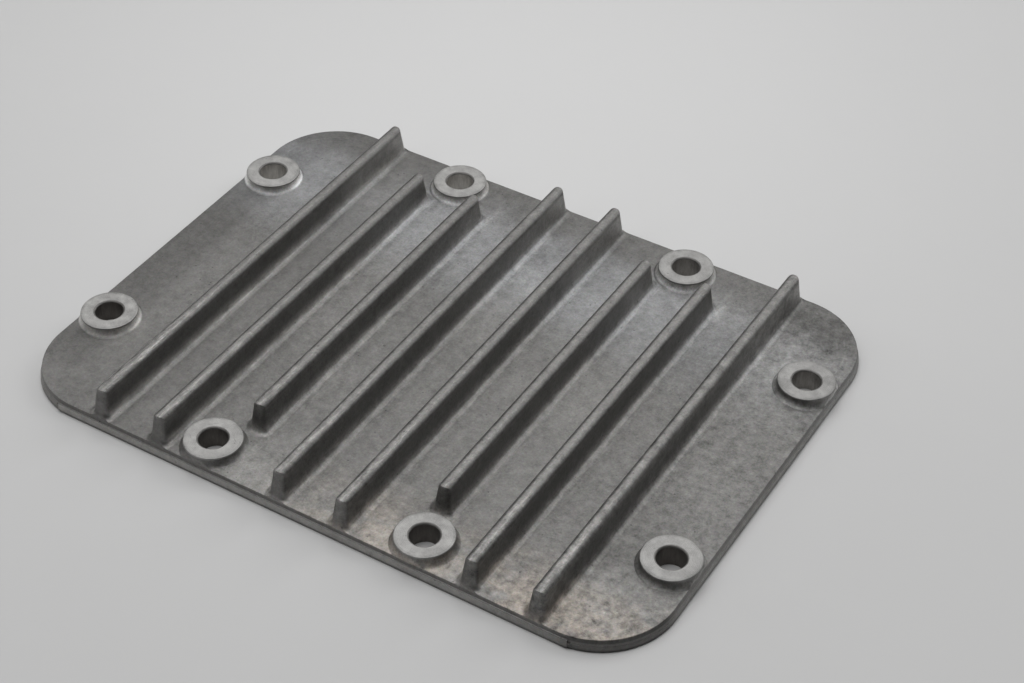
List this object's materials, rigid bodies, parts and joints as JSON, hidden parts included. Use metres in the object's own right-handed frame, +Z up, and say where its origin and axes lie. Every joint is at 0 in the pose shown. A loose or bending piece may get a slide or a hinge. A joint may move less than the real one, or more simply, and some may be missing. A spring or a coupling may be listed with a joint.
{
  "type": "finned housing cover",
  "caption": "Die cast housing cover: a thin rounded plate with parallel drafted cooling fins on top and spot-faced screw bosses round its rim.",
  "frame": {"origin": "centre of the flat underside, the face that seats on the housing", "axes": "+Z up from the underside towards the fins; +X across the fins, along the plate's long side; +Y along the fins, away from the side with the trimmed gate land"},
  "size_m": [0.16, 0.1196, 0.0103],
  "materials": {
    "cast_aluminium": "as cast, satin, with bright spot-faced boss tops"
  },
  "bodies": {
    "root": {"finned_cover": "cast_aluminium"}
  },
  "joints": []
}
